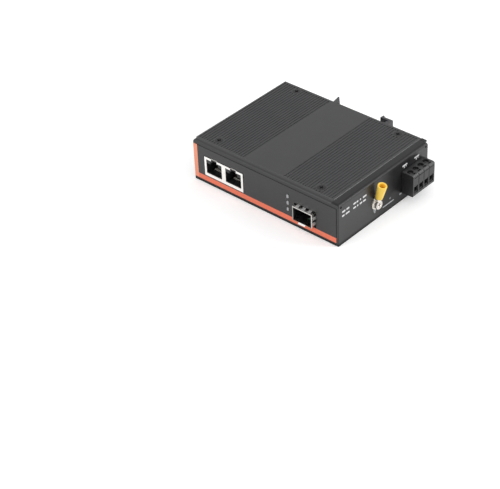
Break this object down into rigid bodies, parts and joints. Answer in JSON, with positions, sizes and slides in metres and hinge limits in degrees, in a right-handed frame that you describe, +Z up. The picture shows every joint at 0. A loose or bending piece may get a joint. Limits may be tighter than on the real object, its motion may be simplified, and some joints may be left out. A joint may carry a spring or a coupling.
{
  "type": "fibre media converter",
  "caption": "Slim ribbed metal case with two copper data sockets, a plug-in fibre bay, status lamps, a plug-on power terminal, an earth lug and a rail clip.",
  "frame": {"origin": "centre of the case's flat underside, as it lies in the picture", "axes": "+X towards the end wall with the power terminal, -Y out of the face with the data ports, +Z up through the ribbed cover; the rail clip is on the +Y face"},
  "size_m": [0.124, 0.1007, 0.029],
  "materials": {
    "tray_paint": "satin black powder coat",
    "cover_paint": "satin black coat on aluminium",
    "film_print": "satin printed film",
    "black_screw": "black passivated steel",
    "steel": "bright zinc plated steel",
    "board_green": "green solder mask",
    "shield_metal": "nickel plated sheet",
    "black_moulding": "black moulded plastic",
    "gold_contact": "gold plated spring wire",
    "lamp_clear": "milky clear plastic",
    "chip_black": "moulded chip bodies",
    "can_metal": "bright sleeved cans",
    "ferrite": "sintered ferrite",
    "terminal_plastic": "black moulded plastic",
    "brass_plated": "tin plated brass",
    "sleeve_yellow": "soft yellow vinyl",
    "clip_metal": "black anodised extrusion",
    "spring_steel": "bright spring steel"
  },
  "bodies": {
    "converter": {"case_tray": "tray_paint", "top_cover": "cover_paint", "front_film": "film_print", "cover_screws": "black_screw", "cover_nuts": "steel", "circuit_board": "board_green", "board_posts": "steel", "board_screws": "steel", "jack_shield": "shield_metal", "jack_housing": "black_moulding", "jack_contacts": "gold_contact", "fibre_cage": "shield_metal", "bay_fingers": "shield_metal", "edge_connector": "black_moulding", "lamp_holder": "black_moulding", "lamp_lenses": "lamp_clear", "board_chips": "chip_black", "line_transformers": "chip_black", "capacitors": "can_metal", "power_coil": "ferrite", "crystal": "can_metal", "terminal_header": "terminal_plastic", "header_pins": "brass_plated", "ring_lug": "brass_plated", "lug_sleeve": "sleeve_yellow", "earth_washer": "steel", "earth_screw": "steel", "earth_nut": "steel", "rail_clip": "clip_metal", "rail_spring": "spring_steel", "clip_screws": "steel", "clip_nuts": "steel"},
    "plug": {"terminal_plug": "terminal_plastic", "plug_contacts": "brass_plated"},
    "screw_1": {"clamp_screw_1": "steel"},
    "clamp_1": {"wire_clamp_1": "brass_plated"},
    "screw_2": {"clamp_screw_2": "steel"},
    "clamp_2": {"wire_clamp_2": "brass_plated"},
    "screw_3": {"clamp_screw_3": "steel"},
    "clamp_3": {"wire_clamp_3": "brass_plated"},
    "screw_4": {"clamp_screw_4": "steel"},
    "clamp_4": {"wire_clamp_4": "brass_plated"}
  },
  "joints": [
    {"name": "plug_slide", "type": "slide", "parent": "converter", "child": "plug", "axis": [1, 0, 0], "range_m": [0, 0.012]},
    {"name": "screw_turn_1", "type": "hinge", "parent": "plug", "child": "screw_1", "pos_m": [0.0618, 0.01948, 0.0168], "axis": [0, 0, 1], "range_deg": [-1080, 0]},
    {"name": "clamp_rise_1", "type": "slide", "parent": "plug", "child": "clamp_1", "axis": [0, 0, 1], "range_m": [0, 0.0015]},
    {"name": "screw_turn_2", "type": "hinge", "parent": "plug", "child": "screw_2", "pos_m": [0.0618, 0.02456, 0.0168], "axis": [0, 0, 1], "range_deg": [-1080, 0]},
    {"name": "clamp_rise_2", "type": "slide", "parent": "plug", "child": "clamp_2", "axis": [0, 0, 1], "range_m": [0, 0.0015]},
    {"name": "screw_turn_3", "type": "hinge", "parent": "plug", "child": "screw_3", "pos_m": [0.0618, 0.02964, 0.0168], "axis": [0, 0, 1], "range_deg": [-1080, 0]},
    {"name": "clamp_rise_3", "type": "slide", "parent": "plug", "child": "clamp_3", "axis": [0, 0, 1], "range_m": [0, 0.0015]},
    {"name": "screw_turn_4", "type": "hinge", "parent": "plug", "child": "screw_4", "pos_m": [0.0618, 0.03472, 0.0168], "axis": [0, 0, 1], "range_deg": [-1080, 0]},
    {"name": "clamp_rise_4", "type": "slide", "parent": "plug", "child": "clamp_4", "axis": [0, 0, 1], "range_m": [0, 0.0015]}
  ],
  "couplings": [
    {"joint": "screw_turn_1", "follows": "clamp_rise_1", "rad_per_m": -12566},
    {"joint": "screw_turn_2", "follows": "clamp_rise_2", "rad_per_m": -12566},
    {"joint": "screw_turn_3", "follows": "clamp_rise_3", "rad_per_m": -12566},
    {"joint": "screw_turn_4", "follows": "clamp_rise_4", "rad_per_m": -12566}
  ]
}
